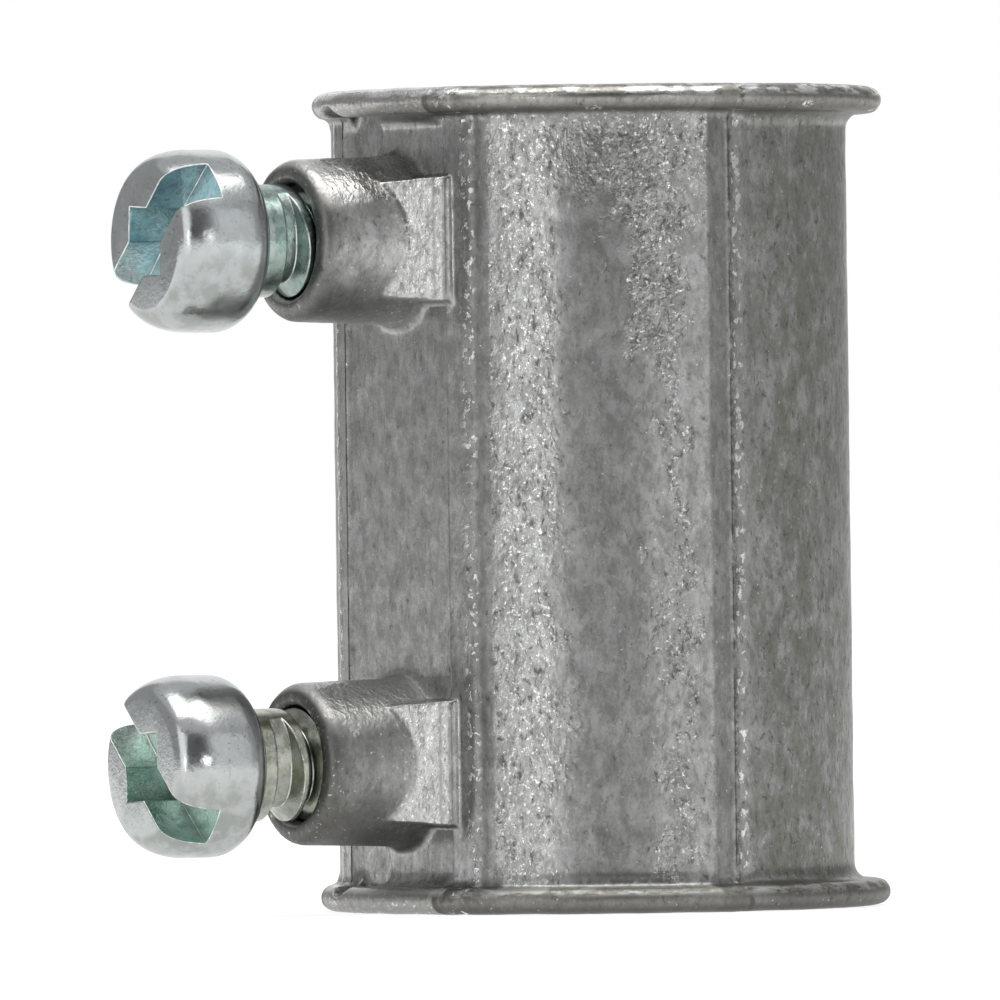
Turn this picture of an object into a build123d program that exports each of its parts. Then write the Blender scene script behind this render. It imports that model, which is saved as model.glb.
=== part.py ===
from build123d import *
import os
from math import cos, radians, sin, tan

# A set-screw coupling that joins two lengths of thin-wall steel conduit, in millimetres.
# One zinc die casting holds a socket at each end, and a set screw clamps the conduit in each.
# The bore runs up Z from the middle of the lower end face. The set screws point along -Y.

# Sockets and the stop between them
conduit_diameter = 17.93
socket_clearance = 0.185
socket_depth = 16.9
stop_width = 1.2
stop_reach = 0.95
mouth_edge = 0.25

# Wall of the casting: the plain tube, and the thicker bands beside the screws
tube_wall = 1.52
band_raise = 0.8
band_start_angle = 36.0
band_end_angle = 84.0
tube_start_angle = 97.0
parting_step = 0.1

# Flat pad that carries the screw bosses, and the slopes beside it
pad_wall = 0.74
pad_width = 8.64
pad_sink = 0.12
pad_side = 0.08
ridge_place = 0.5
ridge_raise = 0.09

# End flanges with rounded rims. Beside a band, a rounding takes up at most a share of the ledge.
flange_reach = 1.53
flange_thickness = 1.2
rim_width = 0.7
rim_width_inside = 0.6
flange_root = 0.6
rounding_share = 0.9

# Screw bosses
boss_inset = 6.43
boss_height = 5.4
boss_end_diameter = 6.96
boss_draft = 1.5
boss_edge = 0.6
boss_root = 0.4

# Gussets at both sides of each boss
gusset_width = 9.7
gusset_lift = 0.31
gusset_slope = 40.6
gusset_base_height = 5.34
gusset_draft = 7.0

# Round marks of the ejector pins on the pad, near both ends
mark_diameter = 2.4
mark_depth = 0.1
mark_inset = 1.9
mark_offset = 2.34

# Set screws
screw_diameter = 4.8
screw_length = 7.94
screw_clearance = 0.05
tip_bevel = 0.55
head_diameter = 7.73
head_height = 4.46
crown_drop = 1.94
crown_width = 1.02
head_edge = 1.34
hole_bevel = 0.2

# Drive: a square socket with a slot along its diagonal
square_width = 2.82
square_depth = 2.5
square_point_angle = 44.0
slot_width = 1.9
slot_depth = 1.75
slot_end_depth = 1.9
slot_angle = 45.0

# Gap between each head and its boss, and how far each screw is turned
upper_gap = 2.28
lower_gap = 2.75
upper_turn = -3.0
lower_turn = 93.0

bore_radius = conduit_diameter / 2 + socket_clearance
stop_radius = bore_radius - stop_reach
tube_radius = bore_radius + tube_wall
band_radius = tube_radius + band_raise
flange_radius = tube_radius + flange_reach
ledge_rounding = rounding_share * (flange_reach - band_raise)
collar_height = flange_thickness + 2 * flange_root
pad_distance = bore_radius + pad_wall
boss_end = pad_distance + boss_height
screw_radius = screw_diameter / 2
hole_radius = screw_radius + screw_clearance
coupling_length = 2 * socket_depth + stop_width
screw_heights = {"upper": coupling_length - boss_inset, "lower": boss_inset}


def polar(radius, angle):
    """A point of the section; the angle turns from the screws' side towards +X."""
    return Vector(radius * sin(radians(angle)), -radius * cos(radians(angle)))


def half_outline(plain):
    """The outside of the section on the +X side, from the pad's middle to the back.

    The plain one leaves out the pad's sunk edge, the ridge and the step at the parting line.
    """
    pad_edge = Vector(pad_width / 2, -pad_distance)
    slope_start = pad_edge + Vector(pad_side, -pad_sink)
    band_start = polar(band_radius, band_start_angle)
    band_middle = polar(band_radius, (band_start_angle + band_end_angle) / 2)
    band_end = polar(band_radius, band_end_angle)
    tube_start = polar(tube_radius, tube_start_angle)
    back_middle = polar(tube_radius, (tube_start_angle + 180) / 2)
    slope = band_start - slope_start
    outward = Vector(slope.Y, -slope.X).normalized()
    ridge = slope_start + slope * ridge_place + outward * ridge_raise
    fall = tube_start - band_end
    part_line = band_end + fall * (-band_end.Y / fall.Y)
    step = part_line + Vector(parting_step, 0)
    front_extras = [] if plain else [slope_start, ridge]
    side_extras = [] if plain else [part_line, step]
    front = Polyline((0, -pad_distance), pad_edge, *front_extras, band_start)
    band = ThreePointArc(band_start, band_middle, band_end)
    side = Polyline(band_end, *side_extras, tube_start)
    back = ThreePointArc(tube_start, back_middle, (0, tube_radius))
    return Curve() + [front, band, side, back]


def section(plain=False):
    """The full outside of the casting's section, as a face."""
    half = half_outline(plain)
    return make_face(half + mirror(half, about=Plane.YZ))


def rounded_disc():
    """The space of the lower flange: a disc with a rounded rim, and a column on it."""
    half_rim = flange_thickness / 2
    inside = min(rim_width_inside, ledge_rounding)
    column_radius = flange_radius - inside
    base = Polyline((0, collar_height), (0, 0), (flange_radius - rim_width, 0))
    low_rim = EllipticalCenterArc(
        (flange_radius - rim_width, half_rim), rim_width, half_rim, 270, arc_size=90
    )
    high_rim = EllipticalCenterArc((column_radius, half_rim), inside, half_rim, 0, arc_size=90)
    column = Polyline(
        (column_radius, flange_thickness), (column_radius, collar_height), (0, collar_height)
    )
    outline = make_face(base + low_rim + high_rim + column)
    return revolve(Plane.XZ * outline, axis=Axis.Z)


def lower_flange():
    """The flange at the lower end, with its root rounded into the tube."""
    disc = Cylinder(
        flange_radius, flange_thickness, align=(Align.CENTER, Align.CENTER, Align.MIN)
    )
    collar = disc + extrude(section(plain=True), amount=collar_height)
    level = collar.edges().filter_by_position(Axis.Z, flange_thickness, flange_thickness)
    rim = level.sort_by(SortBy.LENGTH)[-1]
    root = min(flange_root, ledge_rounding)
    collar = fillet([edge for edge in level if edge is not rim], root)
    return collar & rounded_disc()


def tube_with_flanges():
    """The drawn-out section with a flange at each end."""
    flange = lower_flange()
    upper_flange = mirror(flange, about=Plane.XY.offset(coupling_length / 2))
    return extrude(section(), amount=coupling_length) + flange + upper_flange


def boss():
    """One tapered boss with a rounded end and foot, from inside the wall, at Z = 0."""
    end_radius = boss_end_diameter / 2
    base_radius = end_radius + boss_height * tan(radians(boss_draft))
    foot_radius = base_radius + boss_root
    foot_top = pad_distance + boss_root
    side_end = boss_end - boss_edge
    foot = Polyline((0, bore_radius), (foot_radius, bore_radius), (foot_radius, pad_distance))
    foot_round = CenterArc((foot_radius, foot_top), boss_root, 270, -90)
    side = Line((base_radius, foot_top), (end_radius, side_end))
    end_round = CenterArc((end_radius - boss_edge, side_end), boss_edge, 0, 90)
    top = Polyline((end_radius - boss_edge, boss_end), (0, boss_end), (0, bore_radius))
    outline = make_face(foot + foot_round + side + end_round + top)
    return Rot(90, 0, 0) * revolve(Plane.XZ * outline, axis=Axis.Z)


def gusset():
    """The sloped block across the pad that braces one boss, on the level Z = 0."""
    half_width = gusset_width / 2
    rise = tan(radians(gusset_slope))
    shoulder = pad_distance + gusset_lift
    peak = shoulder + half_width * rise
    root = bore_radius
    roof = make_face(
        Polyline(
            (-half_width, -root),
            (half_width, -root),
            (half_width, -shoulder),
            (0, -peak),
            (-half_width, -shoulder),
            close=True,
        )
    )
    narrow = tan(radians(gusset_draft))
    low = gusset_base_height / 2 + (shoulder - root) * narrow
    high = gusset_base_height / 2 - (peak - shoulder) * narrow
    sides = make_face(
        Plane.YZ * Polyline((-root, -low), (-root, low), (-peak, high), (-peak, -high), close=True)
    )
    prism = extrude(roof, amount=gusset_base_height, both=True)
    return prism & extrude(sides, amount=half_width, both=True)


def ejector_mark():
    """The shallow round dent of one ejector pin in the pad, on the level Z = 0."""
    pin = Cylinder(
        mark_diameter / 2, boss_height, align=(Align.CENTER, Align.CENTER, Align.MIN)
    )
    return Pos(-mark_offset, mark_depth - pad_distance, 0) * Rot(90, 0, 0) * pin


def sockets():
    """The hollow of the bore: two sockets, and the throat through the stop."""
    half = Polyline(
        (0, 0),
        (bore_radius + mouth_edge, 0),
        (bore_radius, mouth_edge),
        (bore_radius, socket_depth),
        (stop_radius, socket_depth),
        (stop_radius, coupling_length / 2),
        (0, coupling_length / 2),
        close=True,
    )
    lower = revolve(Plane.XZ * make_face(half), axis=Axis.Z)
    return lower + mirror(lower, about=Plane.XY.offset(coupling_length / 2))


def screw_hole():
    """The hole for one set screw, eased at the boss's end, on the level Z = 0."""
    hole = Cylinder(hole_radius, boss_end, align=(Align.CENTER, Align.CENTER, Align.MIN))
    mouth = Pos(0, 0, boss_end - hole_bevel) * Cone(
        hole_radius, hole_radius + hole_bevel, hole_bevel,
        align=(Align.CENTER, Align.CENTER, Align.MIN),
    )
    return Rot(90, 0, 0) * (hole + mouth)


def coupling_body():
    """The whole casting."""
    casting = tube_with_flanges()
    for height in screw_heights.values():
        casting += Pos(0, 0, height) * (boss() + gusset())
    casting -= sockets()
    for height in screw_heights.values():
        casting -= Pos(0, 0, height) * screw_hole()
    for height in (mark_inset, coupling_length - mark_inset):
        casting -= Pos(0, 0, height) * ejector_mark()
    return casting


def drive_recess():
    """The hollow of the drive, in a head whose face is the level Z = 0."""
    square = extrude(Rectangle(square_width, square_width), amount=-square_depth)
    square += Pos(0, 0, -square_depth) * extrude(
        Rectangle(square_width, square_width), amount=-square_width / 2, taper=square_point_angle
    )
    floor_drop = slot_end_depth - slot_depth
    half_head = head_diameter / 2
    slot_side = make_face(
        Polyline(
            (-head_diameter, head_height),
            (-head_diameter, -slot_end_depth - floor_drop),
            (-half_head, -slot_end_depth),
            (0, -slot_depth),
            (half_head, -slot_end_depth),
            (head_diameter, -slot_end_depth - floor_drop),
            (head_diameter, head_height),
            close=True,
        )
    )
    slot = extrude(Plane.XZ * slot_side, amount=slot_width / 2, both=True)
    return square + Rot(0, 0, slot_angle) * slot


def set_screw():
    """One set screw along +Z, with its tip at the origin."""
    face = screw_length + head_height
    half_head = head_diameter / 2
    lines = Polyline(
        (half_head, face - crown_drop),
        (half_head, screw_length + head_edge),
    )
    edge = CenterArc((half_head - head_edge, screw_length + head_edge), head_edge, 270, 90)
    crown = EllipticalCenterArc(
        (half_head - crown_width, face - crown_drop), crown_width, crown_drop, 0, arc_size=90
    )
    rest = Polyline(
        (half_head - head_edge, screw_length),
        (screw_radius, screw_length),
        (screw_radius, tip_bevel),
        (screw_radius - tip_bevel, 0),
        (0, 0),
        (0, face),
        (half_head - crown_width, face),
    )
    blank = revolve(Plane.XZ * make_face(lines + edge + crown + rest), axis=Axis.Z)
    return blank - Pos(0, 0, face) * drive_recess()


def placed_screw(level, gap, turn):
    """A set screw in its boss, with a gap under its head, turned about its own axis."""
    tip = boss_end + gap - screw_length
    return Pos(0, -tip, screw_heights[level]) * Rot(90, 0, 0) * Rot(0, 0, turn) * set_screw()


nodes = {
    "coupling_body": coupling_body(),
    "upper_set_screw": placed_screw("upper", upper_gap, upper_turn),
    "lower_set_screw": placed_screw("lower", lower_gap, lower_turn),
}

os.makedirs("parts", exist_ok=True)
for name, shape in nodes.items():
    export_step(shape, f"parts/{name}.step")
    print(name, "volume mm3", round(shape.volume, 1), "size", shape.bounding_box().size)
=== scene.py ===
import math

import bpy
from mathutils import Matrix, Vector


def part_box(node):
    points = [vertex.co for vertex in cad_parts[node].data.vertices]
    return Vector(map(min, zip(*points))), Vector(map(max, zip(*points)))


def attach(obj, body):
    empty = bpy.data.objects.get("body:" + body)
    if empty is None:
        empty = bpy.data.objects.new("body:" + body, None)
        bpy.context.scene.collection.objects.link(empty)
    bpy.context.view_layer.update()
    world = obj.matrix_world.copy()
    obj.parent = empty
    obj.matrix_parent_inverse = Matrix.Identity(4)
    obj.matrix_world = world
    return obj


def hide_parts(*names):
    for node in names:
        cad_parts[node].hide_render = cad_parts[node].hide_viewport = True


bl_info = {
    "name": "Set-screw conduit coupling",
    "version": (1, 0, 0),
    "blender": (4, 5, 0),
    "location": "View3D > Sidebar > Coupling",
    "description": "Threaded set screws, die-cast zinc and a plain studio for a conduit coupling",
    "category": "Object",
}

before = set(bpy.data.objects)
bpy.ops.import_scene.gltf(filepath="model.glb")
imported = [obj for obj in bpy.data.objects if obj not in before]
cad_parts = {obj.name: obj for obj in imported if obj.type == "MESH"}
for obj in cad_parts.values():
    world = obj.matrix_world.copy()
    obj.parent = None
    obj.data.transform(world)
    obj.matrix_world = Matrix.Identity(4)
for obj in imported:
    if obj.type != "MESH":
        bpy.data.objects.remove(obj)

MM = 0.001
PER_MM = 1000.0

# Fineness of the screws: corners of a turned ring, steps of the rounded edges, smooth shading in degrees
RING = 96
UNDERSIDE_STEPS = 10
CROWN_STEPS = 14
SMOOTH_ANGLE = 35.0

# Thread: half the angle of its groove in degrees, how the tool lifts out of it beyond its depth,
# and the length of the widened last groove and of its start, in turns
GROOVE_HALF_ANGLE = 30.0
LIFT_SHARE = 1.1
LIFT_CURVE = 1.5
WORN_TURNS = 0.72
WORN_START = 0.15

# Forms of the casting, each from where it starts to where it ends.
# Bearings are in degrees from the screws' side, and the rest in millimetres.
BAND_BEARING = (36.0, 84.0)
TUBE_RADIUS = (11.5, 11.7)
RIM_RADIUS = (11.6, 11.9)
RIM_FROM_MIDDLE = (15.9, 16.3)
FRONT_BACK = (-9.0, -8.8)
PROUD_BACK = (-10.3, -10.0)
PROUD_SIDE = (5.0, 5.2)
PAD_LINE_SIDE = (4.36, 4.46)
RIDGE_SIDE = (5.35, 5.95)
GROOVE_SIDE = (6.0, 6.45)
BOSS_RADIUS = (3.6, 3.75)
GUSSET_FROM_BOSS = (3.45, 3.6)
GUSSET_TOP_SIDE = (4.65, 4.75)
GUSSET_WALL_SIDE = (4.66, 4.95)
SEAM_BACK = (-0.05, 0.28)
SEAM_GLINTS_BACK = (0.2, 0.75)


def casting_in_mm():
    """The heights of the casting's middle and upper boss, and where the bosses end, in millimetres."""
    body_low, body_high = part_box("coupling_body")
    screw_low, screw_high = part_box("upper_set_screw")
    middle = (body_low.z + body_high.z) / 2
    return middle * PER_MM, (screw_low.z + screw_high.z) / 2 * PER_MM, body_low.y * PER_MM


COUPLING_MIDDLE, UPPER_BOSS, BOSS_END = casting_in_mm()
BOSS_FROM_MIDDLE = UPPER_BOSS - COUPLING_MIDDLE


# Settings

def length(name, description, default):
    """A size that a user can change, in metres."""
    return bpy.props.FloatProperty(
        name=name, description=description, default=default, min=0.0, precision=5, unit="LENGTH"
    )


def colour(name, description, default):
    """A colour that a user can change."""
    return bpy.props.FloatVectorProperty(
        name=name, description=description, default=default, min=0.0, max=1.0, subtype="COLOR"
    )


def angle(name, description, degrees):
    """An angle that a user can change."""
    return bpy.props.FloatProperty(
        name=name, description=description, default=math.radians(degrees), subtype="ANGLE"
    )


def amount(name, description, default):
    """A plain number that a user can change."""
    return bpy.props.FloatProperty(name=name, description=description, default=default, min=0.0)


class CastingSettings(bpy.types.PropertyGroup):
    """Skin and finish of the zinc casting."""

    skin_step: length("Skin step", "Spacing of the fine mesh of the cast skin", 0.11 * MM)
    skin_faces: bpy.props.IntProperty(
        name="Skin triangles", description="Most triangles of the cast skin", default=190000, min=1000
    )
    swell_height: length("Swell", "Depth of the broad dents in the cast skin", 0.05 * MM)
    swell_size: length("Swell size", "Width of the broad dents", 1.8 * MM)
    ripple_height: length("Ripple", "Depth of the small dents in the cast skin", 0.02 * MM)
    ripple_size: length("Ripple size", "Width of the small dents", 0.7 * MM)
    zinc: colour("Zinc", "Bare die-cast zinc alloy", (0.45, 0.455, 0.455))
    dull: colour("Dull zinc", "Zinc that handling and air have dulled", (0.31, 0.315, 0.31))
    # Glint is a painted highlight: sparkling specks, ridge, seam, rim tops, boss tops and gussets; also worn
    # edges
    glint: colour("Glint", "Bright grains and worn high spots", (0.86, 0.86, 0.85))
    stain: colour("Stain", "Olive tarnish", (0.225, 0.23, 0.19))
    # This colour is soil in pits and cracks, and also painted shade in steps, grooves, corners and
    # undersides
    dirt_and_shade: colour("Dirt", "Dirt in pits, cracks and corners", (0.10, 0.098, 0.09))
    warm: colour("Warm tarnish", "Brownish tarnish on the rims", (0.42, 0.41, 0.375))
    rust: colour("Rust", "Reddish specks on the rims", (0.30, 0.17, 0.12))
    wrinkle_height: length("Wrinkles", "Height of the cold wrinkles in the cast skin", 0.07 * MM)
    grain_height: length("Grain", "Height of the fine grain of the cast skin", 0.004 * MM)


class ScrewSettings(bpy.types.PropertyGroup):
    """Shape and finish of the set screws."""

    head_height: length("Head height", "From the underside of the head to its face", 4.46 * MM)
    crown_drop: length("Crown drop", "How far the rounded edge of the face reaches down", 1.94 * MM)
    crown_width: length("Crown width", "How far the rounded edge reaches in", 1.02 * MM)
    head_edge: length("Underside edge", "Radius of the edge under the head", 1.34 * MM)
    thread_diameter: length("Thread diameter", "Over the crests of the thread", 4.78 * MM)
    thread_pitch: length("Thread pitch", "From one crest to the next, 24 to the inch", 1.058 * MM)
    thread_depth: length("Thread depth", "From crest to root", 0.6 * MM)
    crest_width: length("Crest width", "Flat on the crest of the thread", 0.2 * MM)
    run_out: angle("Run-out", "Turn over which the last groove fades out under the head", 75.0)
    groove_end: angle("Groove end", "Where the last groove ends, above the side that faces +X", 62.0)
    tip_bevel: length("Tip bevel", "Bevel round the tip", 0.55 * MM)
    square_width: length("Square", "Width of the square socket", 2.82 * MM)
    square_depth: length("Square depth", "Depth of the square socket", 2.5 * MM)
    slot_width: length("Slot", "Width of the slot", 1.9 * MM)
    slot_depth: length("Slot depth", "Depth of the slot at its middle", 1.75 * MM)
    slot_fall: length("Slot fall", "How much deeper the slot is at its ends", 0.15 * MM)
    slot_angle: angle("Slot angle", "Turn of the slot against the square", 45.0)
    upper_turn: angle("Upper turn", "Turn of the upper screw", -3.0)
    lower_turn: angle("Lower turn", "Turn of the lower screw", 93.0)
    upper_groove: length("Upper groove", "From the tip to the last groove, on the side facing +X", 6.18 * MM)
    lower_groove: length("Lower groove", "From the tip to the last groove, on the side facing +X", 6.27 * MM)
    upper_worn: length("Upper run-out width", "How much wider the upper screw's last groove is", 0.3 * MM)
    lower_worn: length("Lower run-out width", "How much wider the lower screw's last groove is", 0.5 * MM)
    plate: colour("Zinc plate", "Bright zinc plate of the heads", (0.57, 0.58, 0.59))
    # Partly bare worn metal, partly a painted highlight along the rounded edges
    bright: colour("Bright edge", "Bare bright edges of the drive", (0.88, 0.89, 0.88))
    pale_edge: length("Pale edge", "Width of the bright edges of the drive", 0.09 * MM)
    # Painted shade on the heads darkens corners within this reach, and undersides; its colour also tints
    # spots of soil
    painted_shade_reach: length("Grime reach", "How far out of the corners the grime comes", 1.2 * MM)
    grime_and_shade: colour("Grime", "Olive grime that dulls the undersides of the heads", (0.17, 0.18, 0.155))
    upper_film: colour("Upper film", "Blue-green film in the upper drive", (0.58, 0.74, 0.77))
    lower_film: colour("Lower film", "Green film in the lower drive", (0.58, 0.72, 0.67))
    upper_thread: colour("Upper thread", "Blue-green film on the upper shank", (0.33, 0.46, 0.43))
    lower_thread: colour("Lower thread", "Yellow film on the lower shank", (0.42, 0.435, 0.35))


class StudioSettings(bpy.types.PropertyGroup):
    """Camera, lamps and the room around the part."""

    view_turn: angle("View turn", "Direction from the part to the camera", 60.0)
    view_distance: length("View distance", "From the bore's axis to the camera", 0.75)
    lens: amount("Lens", "Focal length in millimetres", 632.0)
    aim_side: length("Aim", "How far left of the bore's axis the camera aims", 4.316 * MM)
    lean: angle("Lean", "How far the picture is rolled", 0.716)
    room_radius: length("Room radius", "Radius of the grey walls round the part", 0.55)
    room_height: length("Room height", "Height of the grey walls round the part", 0.50)
    front_turn: angle("Front turn", "How far right of the camera the darker wall is centred", 5.0)
    front_half: angle("Dark front", "Half the width of the darker wall behind the camera", 25.0)
    front: colour("Front wall", "Brightness of the darker wall behind the camera", (0.12, 0.12, 0.125))
    wall: colour("Walls", "Brightness of the grey walls", (0.37, 0.37, 0.37))
    ceiling: colour("Ceiling", "Brightness of the ceiling", (0.55, 0.55, 0.555))
    floor: colour("Floor", "Pale floor", (0.4, 0.4, 0.4))
    floor_glow: amount("Floor glow", "Brightness that the floor near the part has besides the lamps", 0.85)
    background: colour("Background", "White background", (1.0, 1.0, 1.0))


# Small helpers for modelling

def activate(obj):
    """Makes obj the only selected object and the active one."""
    if bpy.context.mode != "OBJECT":
        bpy.ops.object.mode_set(mode="OBJECT")
    bpy.ops.object.select_all(action="DESELECT")
    obj.hide_set(False)
    obj.select_set(True)
    bpy.context.view_layer.objects.active = obj


def start_piece():
    """Leaves nothing selected, so that only the next primitive is worked on."""
    if bpy.context.mode != "OBJECT":
        bpy.ops.object.mode_set(mode="OBJECT")
    bpy.ops.object.select_all(action="DESELECT")


def select_parts(obj, kind, wanted):
    """Goes into edit mode with only those faces, edges or vertices selected for which wanted is true."""
    activate(obj)
    bpy.ops.object.mode_set(mode="EDIT")
    bpy.ops.mesh.select_mode(type=kind)
    bpy.ops.mesh.select_all(action="DESELECT")
    bpy.ops.object.mode_set(mode="OBJECT")
    parts = {"FACE": obj.data.polygons, "EDGE": obj.data.edges, "VERT": obj.data.vertices}[kind]
    for part in parts:
        part.select = wanted(part)
    bpy.ops.object.mode_set(mode="EDIT")


def apply_modifier(obj, kind, **settings):
    """Adds a modifier with these settings and applies it."""
    activate(obj)
    modifier = obj.modifiers.new(kind.lower(), kind)
    for name, value in settings.items():
        setattr(modifier, name, value)
    bpy.ops.object.modifier_apply(modifier=modifier.name)


def combine(obj, other, operation, **settings):
    """Joins, cuts or keeps the overlap of obj with other, and removes other."""
    apply_modifier(obj, "BOOLEAN", operation=operation, object=other, solver="EXACT", **settings)
    bpy.data.objects.remove(other)


def turned(name, profile):
    """A turned solid about Z: a ring is extruded and resized from one (radius, height) to the next."""
    start_piece()
    radius, height = profile[0]
    bpy.ops.mesh.primitive_circle_add(
        vertices=RING, radius=radius, location=(0.0, 0.0, height), fill_type="NGON"
    )
    obj = bpy.context.active_object
    obj.name = name
    bpy.ops.object.transform_apply(location=True, rotation=True, scale=True)
    bpy.ops.object.mode_set(mode="EDIT")
    bpy.ops.mesh.select_all(action="SELECT")
    for next_radius, next_height in profile[1:]:
        rise = next_height - height
        share = next_radius / radius
        bpy.ops.mesh.extrude_region_move(TRANSFORM_OT_translate={"value": (0.0, 0.0, rise)})
        bpy.ops.transform.resize(value=(share, share, 1.0), center_override=(0.0, 0.0, next_height))
        radius, height = next_radius, next_height
    bpy.ops.mesh.select_all(action="SELECT")
    bpy.ops.mesh.normals_make_consistent(inside=False)
    bpy.ops.object.mode_set(mode="OBJECT")
    return obj


def arc(centre, across, along, start, end, steps):
    """Points (radius, height) of an elliptical arc about centre, from start to end in degrees."""
    points = []
    for step in range(steps + 1):
        turn = math.radians(start + (end - start) * step / steps)
        points.append((centre[0] + across * math.cos(turn), centre[1] + along * math.sin(turn)))
    return points


# Small helpers for materials

def add(tree, kind, inputs=None, **settings):
    """A node with its settings, and with its inputs linked to sockets or set to values."""
    node = tree.nodes.new(kind)
    for name, value in settings.items():
        setattr(node, name, value)
    for name, value in (inputs or {}).items():
        if isinstance(value, bpy.types.NodeSocket):
            tree.links.new(value, node.inputs[name])
        else:
            node.inputs[name].default_value = value
    return node


def places(tree, stretch=(1.0, 1.0, 1.0)):
    """Object coordinates in millimetres, squeezed where a pattern is to be drawn out."""
    coordinates = add(tree, "ShaderNodeTexCoord")
    scale = tuple(PER_MM * share for share in stretch)
    mapping = add(tree, "ShaderNodeMapping", {"Vector": coordinates.outputs["Object"], "Scale": scale})
    return mapping.outputs["Vector"]


def noise(tree, vector, scale, detail, roughness, distortion=0.0):
    """Noise from 0 to 1, with scale in waves per millimetre."""
    node = add(
        tree,
        "ShaderNodeTexNoise",
        {
            "Vector": vector,
            "Scale": scale,
            "Detail": detail,
            "Roughness": roughness,
            "Distortion": distortion,
        },
    )
    return node.outputs["Fac"]


def between(tree, value, low, high, new_low=0.0, new_high=1.0):
    """A soft step: new_low where value is at low, and new_high where it is at high."""
    node = add(
        tree,
        "ShaderNodeMapRange",
        {
            "Value": value,
            "From Min": low,
            "From Max": high,
            "To Min": new_low,
            "To Max": new_high,
        },
        interpolation_type="SMOOTHSTEP",
    )
    return node.outputs["Result"]


def sums(tree, operation, first, second):
    """One step of arithmetic on two values, such as MULTIPLY or MAXIMUM."""
    node = tree.nodes.new("ShaderNodeMath")
    node.operation = operation
    for place, value in enumerate((first, second)):
        if isinstance(value, bpy.types.NodeSocket):
            tree.links.new(value, node.inputs[place])
        else:
            node.inputs[place].default_value = value
    return node.outputs[0]


def blend(tree, factor, first, second, kind="MIX"):
    """Colour first turned into colour second by factor."""
    node = tree.nodes.new("ShaderNodeMix")
    node.data_type = "RGBA"
    node.blend_type = kind
    for place, value in ((0, factor), (6, first), (7, second)):
        if isinstance(value, bpy.types.NodeSocket):
            tree.links.new(value, node.inputs[place])
        elif place == 0:
            node.inputs[place].default_value = value
        else:
            node.inputs[place].default_value = (*value, 1.0)
    return node.outputs[2]


def new_material(name):
    """An empty material and its principled shader."""
    material = bpy.data.materials.new(name)
    material.use_nodes = True
    tree = material.node_tree
    shader = tree.nodes["Principled BSDF"]
    shader.inputs["Metallic"].default_value = 1.0
    return material, tree, shader


def plug(tree, shader, **sockets):
    """Links these sockets to the shader's inputs."""
    for name, socket in sockets.items():
        tree.links.new(socket, shader.inputs[name.replace("_", " ").title()])


def window(tree, value, low, high, soft):
    """1 where value lies from low to high, with soft edges."""
    rising = between(tree, value, low - soft, low + soft)
    falling = between(tree, value, high - soft, high + soft, 1.0, 0.0)
    return sums(tree, "MULTIPLY", rising, falling)


def most(tree, *values):
    """The greatest of these values."""
    best = values[0]
    for value in values[1:]:
        best = sums(tree, "MAXIMUM", best, value)
    return best


def times(tree, *values):
    """The product of these values."""
    product = values[0]
    for value in values[1:]:
        product = sums(tree, "MULTIPLY", product, value)
    return product


def remaining(tree, *shares):
    """What is left of 1 when these shares are taken off it."""
    rest = sums(tree, "SUBTRACT", 1.0, shares[0])
    for share in shares[1:]:
        rest = times(tree, rest, sums(tree, "SUBTRACT", 1.0, share))
    return rest


def below(tree, value, low, high):
    """1 where value is under low, falling softly to 0 at high."""
    return between(tree, value, low, high, 1.0, 0.0)


def upwardness(tree):
    """How far the surface points up, from -1 to 1."""
    faces = add(tree, "ShaderNodeTexCoord").outputs["Normal"]
    return add(tree, "ShaderNodeSeparateXYZ", {"Vector": faces}).outputs["Z"]


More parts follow.
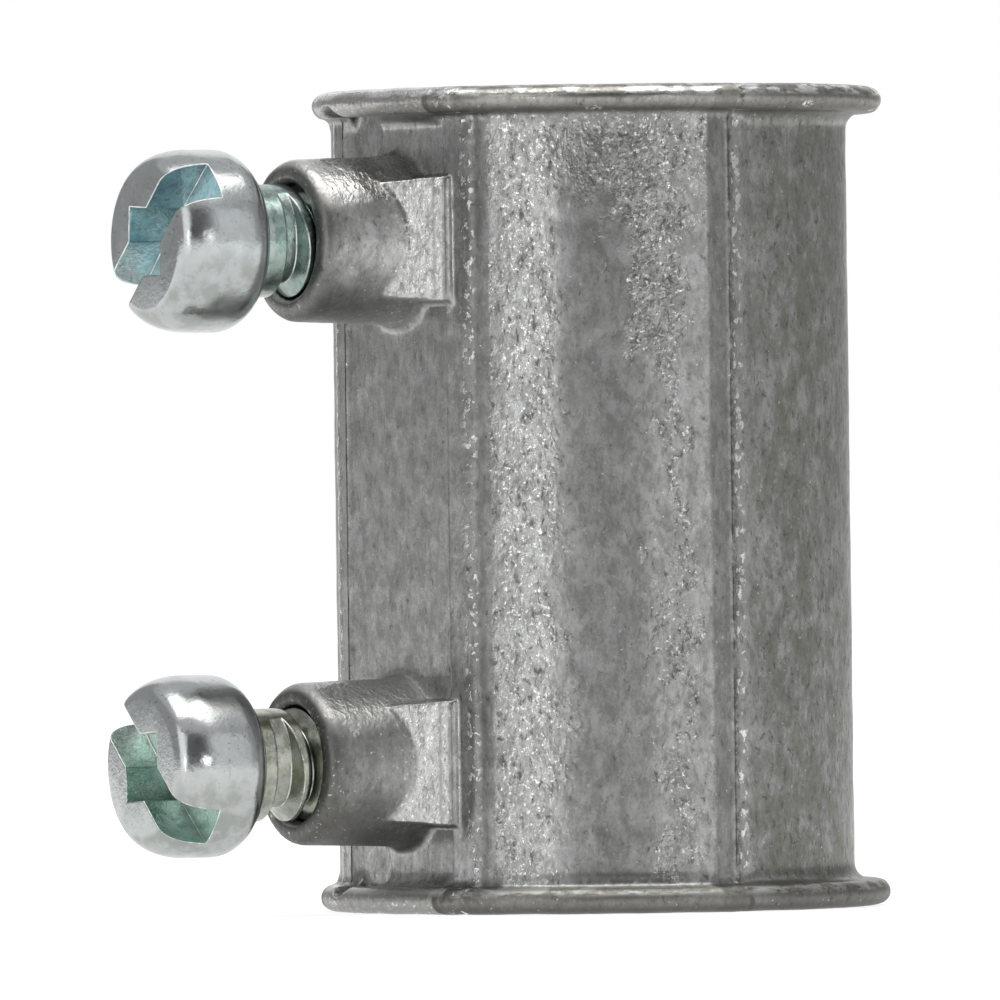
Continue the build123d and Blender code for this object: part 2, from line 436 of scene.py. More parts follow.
class CastPlaces:
    """Where a point of the casting is, and how far it belongs to each of the casting's forms."""

    def __init__(self, tree):
        self.at = places(tree)
        self.upright = places(tree, (1.0, 1.0, 0.6))
        self.upward = upwardness(tree)
        self.pointed = add(tree, "ShaderNodeNewGeometry").outputs["Pointiness"]
        self.measure(tree)
        self.find_forms(tree)
        self.find_wrinkles(tree)

    def measure(self, tree):
        """Its distances in millimetres, and its bearing from the screws' side in degrees."""
        axes = add(tree, "ShaderNodeSeparateXYZ", {"Vector": self.at})
        self.side = sums(tree, "ABSOLUTE", axes.outputs["X"], 0.0)
        self.back = axes.outputs["Y"]
        self.height = axes.outputs["Z"]
        turn = sums(tree, "ARCTAN2", self.side, times(tree, self.back, -1.0))
        self.bearing = times(tree, turn, math.degrees(1.0))
        level = add(tree, "ShaderNodeVectorMath", {0: self.at, 1: (1.0, 1.0, 0.0)}, operation="MULTIPLY")
        radius = add(tree, "ShaderNodeVectorMath", {0: level.outputs[0]}, operation="LENGTH")
        self.radius = radius.outputs["Value"]
        rise = sums(tree, "SUBTRACT", self.height, COUPLING_MIDDLE)
        self.from_middle = sums(tree, "ABSOLUTE", rise, 0.0)
        boss_rise = sums(tree, "SUBTRACT", self.from_middle, BOSS_FROM_MIDDLE)
        across = add(tree, "ShaderNodeCombineXYZ", {"X": self.side, "Y": boss_rise})
        from_boss = add(tree, "ShaderNodeVectorMath", {0: across.outputs["Vector"]}, operation="LENGTH")
        self.from_boss = from_boss.outputs["Value"]

    def find_forms(self, tree):
        """The tube, the rims, the front with its ridge and drops, the bosses and the gussets."""
        self.tube = below(tree, self.radius, *TUBE_RADIUS)
        rim_height = between(tree, self.from_middle, *RIM_FROM_MIDDLE)
        self.rim = times(tree, between(tree, self.radius, *RIM_RADIUS), rim_height)
        self.front = below(tree, self.back, *FRONT_BACK)
        self.ridge = times(tree, self.front, window(tree, self.side, *RIDGE_SIDE, 0.25))
        self.drops = noise(tree, self.at, scale=2.7, detail=3.0, roughness=0.6)
        # Bead bumps on the ridge, which are also painted as glints
        self.beads_and_glints = times(tree, self.ridge, between(tree, self.drops, 0.555, 0.61))
        self.proud = times(
            tree, below(tree, self.back, *PROUD_BACK), below(tree, self.side, *PROUD_SIDE)
        )
        self.on_gusset = times(
            tree,
            self.proud,
            between(tree, self.from_boss, *GUSSET_FROM_BOSS),
            below(tree, self.side, *GUSSET_TOP_SIDE),
        )
        self.on_boss_top = times(tree, self.proud, between(tree, self.upward, 0.25, 0.7))

    def find_wrinkles(self, tree):
        """Where the metal froze in cold wrinkles, with ragged borders."""
        ragged = noise(tree, self.at, scale=0.6, detail=4.0, roughness=0.6, distortion=0.3)
        ragged = sums(tree, "SUBTRACT", ragged, 0.5)
        shifted = sums(tree, "ADD", self.bearing, times(tree, ragged, 30.0))
        near_screws = window(tree, shifted, 35.0, 50.0, 3.5)
        inner_edge = between(tree, self.height, 19.0, 31.0, 73.0, 64.0)
        past_edge = between(tree, sums(tree, "SUBTRACT", shifted, inner_edge), -2.5, 3.5)
        self.near_seam = times(tree, past_edge, below(tree, shifted, 77.5, 80.5))
        top = between(tree, sums(tree, "ADD", self.height, times(tree, ragged, 5.0)), 29.6, 31.6)
        band = times(tree, window(tree, self.bearing, *BAND_BEARING, 0.5), self.tube)
        on_band = times(tree, band, most(tree, near_screws, self.near_seam, top))
        on_boss = times(tree, self.proud, between(tree, self.from_boss, 3.35, 3.55, 0.38, 0.0))
        self.wrinkled = most(tree, on_band, self.on_gusset, self.on_boss_top, on_boss)


def cast_relief(tree, look, place):
    """The bump of the cold wrinkles, the fine grain, and the ridge with its beads."""
    coarse = noise(tree, place.upright, scale=2.3, detail=4.0, roughness=0.55, distortion=0.2)
    fine = noise(tree, place.at, scale=6.0, detail=2.0, roughness=0.5)
    fine_share = 0.3
    mean = 0.5 + 0.5 * fine_share
    relief = sums(tree, "SUBTRACT", sums(tree, "ADD", coarse, times(tree, fine, fine_share)), mean)
    strength = between(tree, place.wrinkled, 0.0, 1.0, 0.06, 1.0)
    relief = times(tree, relief, look.wrinkle_height * PER_MM, strength)
    relief = times(tree, relief, between(tree, place.near_seam, 0.0, 1.0, 1.0, 1.4))
    grain = noise(tree, place.at, scale=8.0, detail=3.0, roughness=0.6)
    heights = (
        (grain, look.grain_height * PER_MM),
        (place.beads_and_glints, 0.05),
        (place.ridge, 0.06),
    )
    for form, height in heights:
        relief = sums(tree, "ADD", relief, times(tree, form, height))
    bump = add(tree, "ShaderNodeBump", {"Height": relief, "Distance": MM, "Strength": 1.0})
    return bump.outputs["Normal"]


def cast_colour(tree, look, place):
    """Mottled zinc, with olive stains, brown and rusty rims, and a pale streak behind the seam."""
    mottle = noise(tree, place.upright, scale=1.4, detail=8.0, roughness=0.78, distortion=0.4)
    tone = blend(tree, between(tree, mottle, 0.41, 0.57), look.dull, look.zinc)
    cloud = noise(tree, place.upright, scale=1.0, detail=8.0, roughness=0.76, distortion=0.4)
    aged = between(tree, place.bearing, BAND_BEARING[1], 105.0, 0.25, 1.0)
    stained = times(tree, between(tree, cloud, 0.40, 0.58), aged)
    tone = blend(tree, times(tree, stained, 0.8), tone, look.stain)
    browned = times(tree, place.rim, between(tree, cloud, 0.4, 0.6, 0.3, 0.9))
    tone = blend(tree, browned, tone, look.warm)
    rusty = noise(tree, place.at, scale=1.8, detail=6.0, roughness=0.75, distortion=0.4)
    rusty = between(tree, rusty, 0.56, 0.64, 0.0, 0.6)
    tone = blend(tree, times(tree, place.rim, rusty), tone, look.rust)
    beside_seam = window(tree, place.bearing, 91.5, 96.0, 1.2)
    streak = times(tree, beside_seam, between(tree, mottle, 0.36, 0.5, 0.0, 0.55))
    return blend(tree, streak, tone, look.zinc)


def cast_clean_and_unshaded(tree, place):
    """1 where the zinc is bare and unshaded; less under specks, along dark lines, and where shade is
    painted.
    """
    behind = between(tree, place.bearing, 88.0, 100.0, 0.0, 0.25)
    speckle = noise(tree, place.upright, scale=3.6, detail=5.0, roughness=0.72, distortion=0.5)
    limit = between(tree, place.wrinkled, 0.0, 1.0, 0.36, 0.41)
    limit = sums(tree, "ADD", limit, times(tree, behind, 0.12))
    specks = between(tree, sums(tree, "SUBTRACT", speckle, limit), -0.05, 0.04, 0.75, 0.0)
    patchy = between(tree, speckle, 0.34, 0.60, 0.34, 0.0)

    broken = between(tree, place.drops, 0.42, 0.56, 0.2, 1.0)
    seam_line = times(tree, window(tree, place.back, *SEAM_BACK, 0.12), broken)
    # Painted shadow along the small step at the pad's edge
    pad_step_shadow = times(tree, place.front, window(tree, place.side, *PAD_LINE_SIDE, 0.05))
    # Painted shade in the groove beside the ridge
    groove = times(tree, place.front, window(tree, place.side, *GROOVE_SIDE, 0.15))
    past_band = between(tree, place.bearing, BAND_BEARING[1], 84.6)
    beside_band = times(tree, past_band, below(tree, place.back, -0.2, 0.0))
    # Painted shade on the outer side faces of the gussets, more at their edge
    gusset_side = times(tree, place.proud, window(tree, place.side, *GUSSET_WALL_SIDE, 0.05))
    gusset_edge = times(tree, gusset_side, between(tree, place.back, PROUD_BACK[0], -10.45))

    # Painted shade on the rounded ends of the bosses
    boss_ends = between(tree, place.back, BOSS_END + 1.1, BOSS_END + 0.3, 0.0, 0.55)
    # The bosses made darker by height, the lower one most
    lower_boss_darkening = times(
        tree,
        place.proud,
        below(tree, place.from_boss, *BOSS_RADIUS),
        between(tree, place.height, 8.0, 16.0, 0.42, 0.05),
    )
    low_rim = times(tree, place.rim, between(tree, place.height, 2.0, 1.5, 0.0, 0.45))
    rim_shade = times(tree, place.rim, between(tree, place.upward, 0.45, -0.35, 0.0, 0.25))
    # Painted shade down the middle of the band
    middle = times(tree, place.tube, window(tree, place.bearing, 52.0, 70.0, 4.0), 0.2)
    seam_shade = times(tree, place.tube, window(tree, place.bearing, 67.0, 79.5, 2.0), 0.15)
    # Painted shade on surfaces that face down
    painted_shade_below = between(tree, place.upward, -0.15, -0.8, 0.0, 0.65)
    # Darker in concave corners: partly soil, partly painted shade
    corner_dirt_and_shade = between(tree, place.pointed, 0.47, 0.40, 0.0, 0.5)
    return remaining(
        tree,
        specks,
        times(tree, seam_line, 0.8),
        times(tree, pad_step_shadow, 0.5),
        times(tree, groove, 0.3),
        times(tree, beside_band, 0.3),
        times(tree, gusset_side, 0.3),
        times(tree, gusset_edge, 0.45),
        boss_ends,
        lower_boss_darkening,
        behind,
        patchy,
        low_rim,
        rim_shade,
        middle,
        seam_shade,
        painted_shade_below,
        corner_dirt_and_shade,
    )


def cast_glints(tree, place):
    """Painted highlights in specks, on the ridge, seam, rim tops, boss tops and gussets, and on worn edges.
    """
    # Painted glints: specks of the glint colour, more of them where the skin is wrinkled
    glint_specks = noise(tree, place.at, scale=5.6, detail=4.0, roughness=0.65)
    limit = between(tree, place.wrinkled, 0.0, 1.0, 0.64, 0.555)
    sparkle = between(tree, sums(tree, "SUBTRACT", glint_specks, limit), -0.01, 0.12, 0.0, 0.8)
    # Convex edges made pale: partly worn metal, partly a painted highlight
    worn = times(
        tree,
        between(tree, place.pointed, 0.53, 0.60),
        between(tree, glint_specks, 0.46, 0.58, 0.0, 0.7),
        most(tree, place.rim, place.proud),
        remaining(tree, window(tree, place.side, 4.2, 5.0, 0.1)),
    )
    # Painted glints along the tops of the rims
    round_rim = times(tree, place.bearing, 0.07)
    on_rim = add(tree, "ShaderNodeCombineXYZ", {"X": round_rim, "Y": place.height}).outputs["Vector"]
    rim_glints = noise(tree, on_rim, scale=2.2, detail=4.0, roughness=0.6, distortion=0.2)
    rim_glints = times(
        tree, place.rim, between(tree, place.upward, 0.1, 0.5), between(tree, rim_glints, 0.46, 0.56)
    )
    rim_glints = times(tree, rim_glints, between(tree, place.height, 1.5, 2.0, 0.3, 1.0))
    # Painted glints in a broken row beside the seam
    seam_glints = times(
        tree,
        window(tree, place.back, *SEAM_GLINTS_BACK, 0.15),
        place.tube,
        between(tree, place.drops, 0.54, 0.60, 0.0, 0.9),
    )
    # Painted light: boss tops and gussets made paler
    painted_boss_light = most(tree, times(tree, place.on_boss_top, 0.62), times(tree, place.on_gusset, 0.25))
    return most(tree, sparkle, worn, place.beads_and_glints, seam_glints, painted_boss_light, rim_glints)


def zinc_casting(look):
    """Bare die-cast zinc: mottled grey with cold wrinkles, cracks, pits and stains, painted glints and
    shade.
    """
    material, tree, shader = new_material("die_cast_zinc")
    place = CastPlaces(tree)
    normal = cast_relief(tree, look, place)
    clean_and_unshaded = cast_clean_and_unshaded(tree, place)
    glints = cast_glints(tree, place)
    # Soil and painted shade darken the zinc, then painted highlights lighten it
    tone = blend(tree, clean_and_unshaded, look.dirt_and_shade, cast_colour(tree, look, place))
    tone = blend(tree, glints, tone, look.glint)
    roughness = between(tree, glints, 0.0, 1.0, 0.26, 0.16)
    roughness = sums(tree, "ADD", roughness, times(tree, sums(tree, "SUBTRACT", 1.0, clean_and_unshaded), 0.3))
    plug(tree, shader, base_color=tone, roughness=roughness, normal=normal)
    return material


def plated_steel(look, name, film, share, uneven, shade_undersides=True):
    """Bright zinc plate, tinted by that share of a film, with pale edges, soil spots and painted shade."""
    material, tree, shader = new_material(name)
    at = places(tree)
    cloud = noise(tree, at, scale=0.6, detail=3.0, roughness=0.5, distortion=0.3)
    cover = noise(tree, at, scale=1.3, detail=4.0, roughness=0.6, distortion=0.4)
    cover = between(tree, cover, 0.38, 0.60, share * share * 0.5, share)
    tone = blend(tree, cover, look.plate, film)
    thick = noise(tree, at, scale=1.7, detail=5.0, roughness=0.7, distortion=0.3)
    thick = between(tree, thick, 0.46, 0.60, 0.0, share)
    tone = blend(tree, times(tree, thick, 0.6), tone, film, "MULTIPLY")
    spots = noise(tree, at, scale=4.2, detail=4.0, roughness=0.7)
    # Painted shade in corners, found by ambient occlusion; the spots are soil
    hidden = add(tree, "ShaderNodeAmbientOcclusion", {"Distance": look.painted_shade_reach}, samples=4)
    grime_and_shade = most(
        tree,
        between(tree, spots, 0.59, 0.66, 0.0, 0.5),
        between(tree, hidden.outputs["AO"], 0.85, 0.25, 0.0, 0.6),
    )
    # Painted shade in patches on surfaces that face down
    if shade_undersides:
        patches = noise(tree, at, scale=0.9, detail=5.0, roughness=0.65)
        patches = between(tree, patches, 0.38, 0.6, 0.5, 0.95)
        facing_down = between(tree, upwardness(tree), 0.2, -0.4, 0.0, 0.62)
        grime_and_shade = most(tree, grime_and_shade, times(tree, facing_down, patches))
    tone = blend(tree, grime_and_shade, tone, look.grime_and_shade)
    # Pale edges: partly bare worn metal, partly a painted highlight along every rounded edge, inner corners
    # too
    rounded = add(tree, "ShaderNodeBevel", {"Radius": look.pale_edge}, samples=8)
    true = add(tree, "ShaderNodeNewGeometry")
    alike = add(
        tree,
        "ShaderNodeVectorMath",
        {0: rounded.outputs["Normal"], 1: true.outputs["Normal"]},
        operation="DOT_PRODUCT",
    )
    edge = between(tree, alike.outputs["Value"], 0.99, 0.93)
    chips = noise(tree, at, scale=1.9, detail=3.0, roughness=0.6)
    edge = times(tree, edge, between(tree, chips, 0.42, 0.56, 0.95, 0.1))
    tone = blend(tree, edge, tone, look.bright)
    scuffs = noise(tree, at, scale=3.0, detail=5.0, roughness=0.65, distortion=0.2)
    fine = noise(tree, at, scale=6.0, detail=3.0, roughness=0.6)
    relief = sums(tree, "ADD", times(tree, scuffs, uneven), times(tree, fine, 0.003))
    bump = add(
        tree,
        "ShaderNodeBump",
        {"Height": relief, "Distance": MM, "Strength": 1.0, "Normal": rounded.outputs["Normal"]},
    )
    roughness = between(tree, cloud, 0.3, 0.7, 0.14, 0.26)
    plug(tree, shader, base_color=tone, roughness=roughness, normal=bump.outputs["Normal"])
    return material


def glowing(name, brightness):
    """A surface of the room that shows at just this brightness."""
    material = bpy.data.materials.new(name)
    material.use_nodes = True
    tree = material.node_tree
    tree.nodes.clear()
    glow = add(tree, "ShaderNodeEmission", {"Color": (*brightness, 1.0)})
    output = add(tree, "ShaderNodeOutputMaterial")
    tree.links.new(glow.outputs[0], output.inputs["Surface"])
    return material


# The casting

def cloudy_texture(name, size):
    """A cloudy pattern that dents a surface."""
    texture = bpy.data.textures.new(name, "CLOUDS")
    texture.noise_scale = size
    texture.noise_depth = 2
    return texture


def cast_skin(look):
    """The casting with the soft edges and shallow dents of a real one, dug into the solid's faces."""
    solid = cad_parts["coupling_body"]
    skin = bpy.data.objects.new("cast_body", solid.data.copy())
    bpy.context.scene.collection.objects.link(skin)
    select_parts(skin, "VERT", lambda vertex: True)
    bpy.ops.mesh.remove_doubles(threshold=1e-6)
    bpy.ops.object.mode_set(mode="OBJECT")
    apply_modifier(skin, "REMESH", mode="VOXEL", voxel_size=look.skin_step, use_smooth_shade=True)
    apply_modifier(skin, "SMOOTH", factor=0.5, iterations=1)
    dents = (
        ("swell", look.swell_size, look.swell_height),
        ("ripple", look.ripple_size, look.ripple_height),
    )
    for name, size, depth in dents:
        apply_modifier(
            skin,
            "DISPLACE",
            texture=cloudy_texture(name, size),
            texture_coords="LOCAL",
            strength=depth,
            mid_level=1.0,
        )
    apply_modifier(skin, "DECIMATE", ratio=look.skin_faces / (2 * len(skin.data.polygons)))
    skin.data.name = skin.name
    return skin


class MakeCasting(bpy.types.Operator):
    """Makes the cast body, with its skin and its zinc finish"""

    bl_idname = "coupling.make_casting"
    bl_label = "Make the casting"

    def execute(self, context):
        look = context.scene.coupling_casting
        skin = cast_skin(look)
        skin.data.materials.clear()
        skin.data.materials.append(zinc_casting(look))
        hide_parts("coupling_body")
        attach(skin, "casting")
        return {"FINISHED"}


# The set screws

def screw_blank(size, head_radius, face):
    """The turned blank about Z: tip, shank and head, with its tip at 0 and its face at that height."""
    underside = face - size.head_height
    shank = size.thread_diameter / 2
    side_end = (head_radius - size.head_edge, underside + size.head_edge)
    crown = (head_radius - size.crown_width, face - size.crown_drop)
    profile = [(shank - size.tip_bevel, 0.0), (shank, size.tip_bevel), (shank, underside)]
    profile += arc(side_end, size.head_edge, size.head_edge, -90, 0, UNDERSIDE_STEPS)
    profile += arc(crown, size.crown_width, size.crown_drop, 0, 90, CROWN_STEPS)
    return turned("blank", profile)


def wound_tool(size, name, middle, half_width, end, turns, fades):
    """A wedge wound about Z that cuts a thread groove, and lifts out of the steel at its ends."""
    crest = size.thread_diameter / 2
    slope = size.thread_depth * math.tan(math.radians(GROOVE_HALF_ANGLE))
    ease = 0.03 * MM
    outside = 0.25 * MM
    side = [
        (crest - size.thread_depth, half_width - slope),
        (crest - ease, half_width - ease),
        (crest + ease, half_width + ease),
        (crest + outside, half_width + ease),
    ]
    start = middle - size.thread_pitch * turns
    section = [(radius, start + half) for radius, half in side]
    section += [(radius, start - half) for radius, half in reversed(side)]
    first = end - math.tau * turns
    points = [(radius * math.cos(first), radius * math.sin(first), height) for radius, height in section]
    edges = [(place, (place + 1) % len(points)) for place in range(len(points))]
    mesh = bpy.data.meshes.new(name)
    mesh.from_pydata(points, edges, [])
    tool = bpy.data.objects.new(name, mesh)
    bpy.context.scene.collection.objects.link(tool)
    steps = round(RING * turns)
    apply_modifier(
        tool,
        "SCREW",
        axis="Z",
        angle=math.tau * turns,
        screw_offset=size.thread_pitch * turns,
        iterations=1,
        steps=steps,
        render_steps=steps,
        use_merge_vertices=False,
    )
    for vertex in tool.data.vertices:
        along = vertex.index // len(points) * turns / steps
        left = min(along / fades[0] if fades[0] else 1.0, (turns - along) / fades[1], 1.0)
        lift = max(0.0, 1.0 - left) ** LIFT_CURVE * size.thread_depth * LIFT_SHARE
        vertex.co.xy *= 1.0 + lift / vertex.co.xy.length
    select_parts(tool, "VERT", lambda vertex: True)
    bpy.ops.mesh.fill_holes(sides=0)
    bpy.ops.mesh.select_all(action="SELECT")
    bpy.ops.mesh.normals_make_consistent(inside=False)
    bpy.ops.object.mode_set(mode="OBJECT")
    return tool


def thread_tools(size, groove, worn, turn):
    """The tool that cuts the thread, and one that widens its last groove towards the head."""
    half_width = (size.thread_pitch - size.crest_width) / 2
    end = size.groove_end - turn
    rise = size.thread_pitch * size.groove_end / math.tau
    fade = size.run_out / math.tau
    turns = math.ceil(groove / size.thread_pitch) + 1
    yield wound_tool(size, "groove", groove + rise, half_width, end, turns, (0.0, fade))
    middle = groove + rise + worn / 2
    worn_width = half_width + worn / 2
    yield wound_tool(size, "worn_groove", middle, worn_width, end, WORN_TURNS, (WORN_START, fade))


def square_tool(size, face):
    """The tool that sinks the square socket, with a shallow point."""
    above = 1.0 * MM
    point_depth = 0.9 * size.square_width / 2
    point_share = 0.08
    start_piece()
    bpy.ops.mesh.primitive_cube_add(size=1.0)
    square = bpy.context.active_object
    square.name = "square"
    square.scale = (size.square_width, size.square_width, size.square_depth + above)
    square.location = (0.0, 0.0, face + (above - size.square_depth) / 2)
    bpy.ops.object.transform_apply(location=True, rotation=True, scale=True)
    select_parts(square, "FACE", lambda polygon: polygon.normal.z < -0.5)
    bpy.ops.mesh.extrude_region_move(TRANSFORM_OT_translate={"value": (0.0, 0.0, -point_depth)})
    floor = face - size.square_depth - point_depth
    bpy.ops.transform.resize(
        value=(point_share, point_share, 1.0), center_override=(0.0, 0.0, floor)
    )
    bpy.ops.object.mode_set(mode="OBJECT")
    return square


def slot_tool(size, head_radius, face):
    """The tool that cuts the slot, deeper at its ends than at its middle."""
    above = 1.0 * MM
    depth = size.slot_depth + size.slot_fall
    start_piece()
    bpy.ops.mesh.primitive_cube_add(size=1.0)
    slot = bpy.context.active_object
    slot.name = "slot"
    slot.scale = (2 * head_radius + above, size.slot_width, depth + above)
    slot.location = (0.0, 0.0, face + (above - depth) / 2)
    bpy.ops.object.transform_apply(location=True, rotation=True, scale=True)
    bpy.ops.object.mode_set(mode="EDIT")
    bpy.ops.mesh.select_all(action="SELECT")
    bpy.ops.mesh.bisect(plane_co=(0.0, 0.0, face), plane_no=(1.0, 0.0, 0.0))
    select_parts(slot, "VERT", lambda vertex: abs(vertex.co.x) < 0.01 * MM and vertex.co.z < face)
    bpy.ops.transform.translate(value=(0.0, 0.0, size.slot_fall))
    bpy.ops.mesh.select_all(action="SELECT")
    bpy.ops.transform.rotate(value=-size.slot_angle, orient_axis="Z", center_override=(0.0, 0.0, 0.0))
    bpy.ops.object.mode_set(mode="OBJECT")
    return slot


def set_screw(name, node, size, turn, groove, worn, finish, film, thread_film):
    """One set screw in the place of its solid."""
    low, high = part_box(node)
    height = (low.z + high.z) / 2
    head_radius = (high.z - low.z) / 2
    face = high.y - low.y
    screw = screw_blank(size, head_radius, face)
    screw.data.materials.append(finish)
    for tool in thread_tools(size, groove, worn, turn):
        combine(screw, tool, "DIFFERENCE")
    for tool in (square_tool(size, face), slot_tool(size, head_radius, face)):
        tool.data.materials.append(film)
        combine(screw, tool, "DIFFERENCE", material_mode="TRANSFER")
    screw.data.materials.append(thread_film)
    for polygon in screw.data.polygons:
        if polygon.center.z < face - size.head_height:
            polygon.material_index = 2
    screw.name = name
    screw.data.name = name
    tip_to_place = Matrix.Translation((0.0, high.y, height)) @ Matrix.Rotation(math.pi / 2, 4, "X")
    screw.data.transform(tip_to_place @ Matrix.Rotation(turn, 4, "Z"))
    activate(screw)
    bpy.ops.object.shade_smooth_by_angle(angle=math.radians(SMOOTH_ANGLE))
    return screw


class MakeSetScrews(bpy.types.Operator):
    """Models both set screws with their threads and drives"""

    bl_idname = "coupling.make_set_screws"
    bl_label = "Make the set screws"

    def execute(self, context):
        size = context.scene.coupling_screws
        settings = {
            "upper": (size.upper_turn, size.upper_groove, size.upper_worn, size.upper_film),
            "lower": (size.lower_turn, size.lower_groove, size.lower_worn, size.lower_film),
        }
        for level, (turn, groove, worn, film) in settings.items():
            node = f"{level}_set_screw"
            thread = size.upper_thread if level == "upper" else size.lower_thread
            finishes = (
                plated_steel(size, f"{level}_plate", film, share=0.2, uneven=0.008),
                plated_steel(size, f"{level}_drive_film", film, share=1.0, uneven=0.03, shade_undersides=False),
                plated_steel(size, f"{level}_thread_film", thread, share=0.95, uneven=0.012),
            )
            screw = set_screw(f"{level}_threaded_screw", node, size, turn, groove, worn, *finishes)
            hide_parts(node)
            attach(screw, f"{level}_screw")
        return {"FINISHED"}


# The studio

WHITE = (1.0, 1.0, 1.0)
WARM_WHITE = (1.0, 0.98, 0.93)

# Softboxes: degrees right of the camera and above the floor, then distance, width and height in metres,
# brightness and colour
SOFTBOXES = (
    ("left_softbox", -34.0, 14.0, 0.45, 0.24, 0.40, 0.77, WHITE),
    ("right_softbox", 53.0, 14.0, 0.45, 0.20, 0.40, 0.42, WHITE),
    ("top_softbox", 4.0, 82.0, 0.35, 0.42, 0.26, 1.9, WARM_WHITE),
    ("left_strip", -26.0, 4.0, 0.50, 0.03, 0.10, 6.0, WHITE),
    ("right_spot", 27.0, 6.0, 0.50, 0.11, 0.06, 4.0, WHITE),
)

# Room: sides of its round wall, its height off the floor, and how squarely an open side lies behind the part
WALL_SIDES = 72
WALL_LIFT = 0.001
OPEN_BEHIND = -0.94

# Floor, in metres: its sides and radius, and where its brightness grows from near the part to the rest
FLOOR_SIDES = 96
FLOOR_RADIUS = 1.5
FLOOR_NEAR = 0.03
FLOOR_FAR = 0.3

# Share of the white background's brightness that lights the part
BACKGROUND_LIGHT = 0.4


def view_axes(studio):
    """Directions from the part to the camera, and to the right of the picture."""
    toward = Vector((math.sin(studio.view_turn), -math.cos(studio.view_turn), 0.0))
    right = Vector((math.cos(studio.view_turn), math.sin(studio.view_turn), 0.0))
    return toward, right


def place_camera(studio, middle):
    """The camera, aimed a little left of the bore's axis and rolled as the picture is."""
    toward, right = view_axes(studio)
    place = middle + toward * studio.view_distance
    aim = middle - right * studio.aim_side
    bpy.ops.object.camera_add()
    camera = bpy.context.active_object
    camera.name = "camera"
    back = (place - aim).normalized()
    turn = back.to_track_quat("Z", "Y").to_matrix().to_4x4()
    camera.matrix_world = Matrix.Translation(place) @ turn @ Matrix.Rotation(-studio.lean, 4, "Z")
    camera.data.lens = studio.lens
    camera.data.sensor_width = 36.0
    camera.data.clip_start = 0.01
    camera.data.clip_end = 10.0
    bpy.context.scene.camera = camera


def add_softbox(studio, name, middle, turn, rise, distance, width, tall, brightness, tint):
    """A softbox that shines at the part, from so many degrees right of the camera and above the floor."""
    toward, right = view_axes(studio)
    level = toward * math.cos(math.radians(turn)) + right * math.sin(math.radians(turn))
    out = level * math.cos(math.radians(rise)) + Vector((0.0, 0.0, math.sin(math.radians(rise))))
    bpy.ops.object.light_add(type="AREA")
    lamp = bpy.context.active_object
    lamp.name = name
    lamp.data.shape = "RECTANGLE"
    lamp.data.size = width
    lamp.data.size_y = tall
    lamp.data.energy = brightness * math.pi * width * tall
    lamp.data.color = tint
    lamp.visible_camera = False
    facing = out.to_track_quat("Z", "Y").to_matrix().to_4x4()
    lamp.matrix_world = Matrix.Translation(middle + out * distance) @ facing


def outward(polygon):
    """The level direction from the middle of the room to a wall."""
    return Vector((polygon.center.x, polygon.center.y, 0.0)).normalized()


def grey_walls(studio):
    """Grey walls and a ceiling, open behind the part, which show only in the metal."""
    toward, right = view_axes(studio)
    dark = toward * math.cos(studio.front_turn) + right * math.sin(studio.front_turn)
    start_piece()
    bpy.ops.mesh.primitive_cylinder_add(
        vertices=WALL_SIDES,
        radius=studio.room_radius,
        depth=studio.room_height,
        location=(0.0, 0.0, studio.room_height / 2 + WALL_LIFT),
        end_fill_type="NGON",
    )
    walls = bpy.context.active_object
    walls.name = "grey_walls"
    bpy.ops.object.transform_apply(location=True, rotation=True, scale=True)

    def is_open(polygon):
        is_wall = abs(polygon.normal.z) < 0.5
        return polygon.normal.z < -0.5 or (is_wall and outward(polygon).dot(toward) < OPEN_BEHIND)

    select_parts(walls, "FACE", is_open)
    bpy.ops.mesh.delete(type="FACE")
    bpy.ops.object.mode_set(mode="OBJECT")
    walls.data.materials.append(glowing("wall_grey", studio.wall))
    walls.data.materials.append(glowing("ceiling_grey", studio.ceiling))
    walls.data.materials.append(glowing("front_grey", studio.front))
    for polygon in walls.data.polygons:
        if abs(polygon.normal.z) > 0.5:
            polygon.material_index = 1
        elif outward(polygon).dot(dark) > math.cos(studio.front_half):
            polygon.material_index = 2
    walls.visible_camera = False
    walls.visible_diffuse = False
    walls.visible_shadow = False


def shown_rays(tree):
    """1 for what the camera, metal and glass show, and 0 for the light that falls on things."""
    path = add(tree, "ShaderNodeLightPath")
    shown = sums(tree, "MAXIMUM", path.outputs["Is Camera Ray"], path.outputs["Is Glossy Ray"])
    return sums(tree, "MAXIMUM", shown, path.outputs["Is Transmission Ray"])


def pale_floor(studio):
    """The floor: white to the eye and in the metal, with the part's soft shadow on it."""
    start_piece()
    bpy.ops.mesh.primitive_circle_add(vertices=FLOOR_SIDES, radius=FLOOR_RADIUS, fill_type="NGON")
    floor = bpy.context.active_object
    floor.name = "floor"
    material = bpy.data.materials.new("pale_floor")
    material.use_nodes = True
    tree = material.node_tree
    tree.nodes.clear()
    shown = shown_rays(tree)
    paint = add(tree, "ShaderNodeBsdfDiffuse", {"Color": (*studio.floor, 1.0)})
    coordinates = add(tree, "ShaderNodeTexCoord")
    away = add(tree, "ShaderNodeVectorMath", {"Vector": coordinates.outputs["Object"]}, operation="LENGTH")
    away = away.outputs["Value"]
    brightness = between(tree, away, FLOOR_NEAR, FLOOR_FAR, studio.floor_glow, 1.0)
    glow = add(
        tree,
        "ShaderNodeEmission",
        {"Color": (*studio.background, 1.0), "Strength": sums(tree, "MULTIPLY", shown, brightness)},
    )
    both = add(tree, "ShaderNodeAddShader")
    tree.links.new(paint.outputs[0], both.inputs[0])
    tree.links.new(glow.outputs[0], both.inputs[1])
    output = add(tree, "ShaderNodeOutputMaterial")
    tree.links.new(both.outputs[0], output.inputs["Surface"])
    floor.data.materials.append(material)


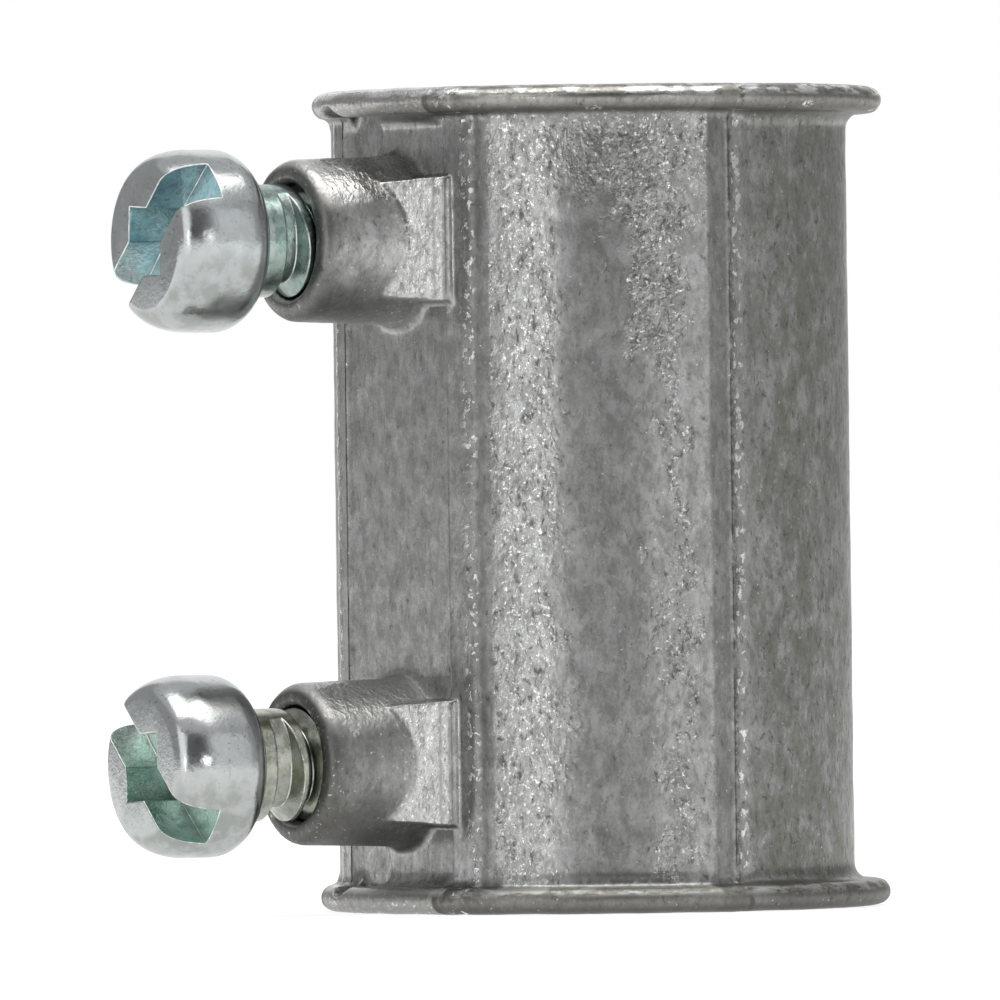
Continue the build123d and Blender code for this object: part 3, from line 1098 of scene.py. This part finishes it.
def white_background(studio):
    """A white background for the eye, metal and glass, and a plain dim light for the rest."""
    world = bpy.data.worlds.new("white_background")
    world.use_nodes = True
    bpy.context.scene.world = world
    tree = world.node_tree
    tree.nodes.clear()
    strength = between(tree, shown_rays(tree), 0.0, 1.0, BACKGROUND_LIGHT, 1.0)
    sky = add(
        tree, "ShaderNodeBackground", {"Color": (*studio.background, 1.0), "Strength": strength}
    )
    output = add(tree, "ShaderNodeOutputWorld")
    tree.links.new(sky.outputs[0], output.inputs["Surface"])


class SetUpStudio(bpy.types.Operator):
    """Sets up the camera, the lamps, the floor and the grey walls"""

    bl_idname = "coupling.set_up_studio"
    bl_label = "Set up the studio"

    def execute(self, context):
        studio = context.scene.coupling_studio
        context.scene.view_settings.view_transform = "Standard"
        low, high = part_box("coupling_body")
        middle = Vector((0.0, 0.0, (low.z + high.z) / 2))
        place_camera(studio, middle)
        for name, *settings in SOFTBOXES:
            add_softbox(studio, name, middle, *settings)
        grey_walls(studio)
        pale_floor(studio)
        white_background(studio)
        return {"FINISHED"}


class CouplingPanel(bpy.types.Panel):
    """Lists the steps that dress the coupling, and their settings"""

    bl_idname = "COUPLING_PT_panel"
    bl_label = "Conduit coupling"
    bl_space_type = "VIEW_3D"
    bl_region_type = "UI"
    bl_category = "Coupling"

    def draw(self, context):
        for operator, settings in STEPS:
            box = self.layout.box()
            box.operator(operator.bl_idname)
            group = getattr(context.scene, settings)
            for name in group.__annotations__:
                box.prop(group, name)


STEPS = (
    (MakeCasting, "coupling_casting"),
    (MakeSetScrews, "coupling_screws"),
    (SetUpStudio, "coupling_studio"),
)
SETTINGS = {
    "coupling_casting": CastingSettings,
    "coupling_screws": ScrewSettings,
    "coupling_studio": StudioSettings,
}
CLASSES = (*SETTINGS.values(), *(operator for operator, settings in STEPS), CouplingPanel)


def register():
    """Makes the steps, their settings and the panel known."""
    for item in CLASSES:
        bpy.utils.register_class(item)
    for name, group in SETTINGS.items():
        setattr(bpy.types.Scene, name, bpy.props.PointerProperty(type=group))


def unregister():
    """Takes away what register made known."""
    for name in SETTINGS:
        delattr(bpy.types.Scene, name)
    for item in reversed(CLASSES):
        bpy.utils.unregister_class(item)


def main():
    """Dresses the coupling and sets up the studio round it."""
    register()
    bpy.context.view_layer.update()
    bpy.ops.coupling.make_casting()
    bpy.ops.coupling.make_set_screws()
    bpy.ops.coupling.set_up_studio()


if __name__ == "__main__":
    main()
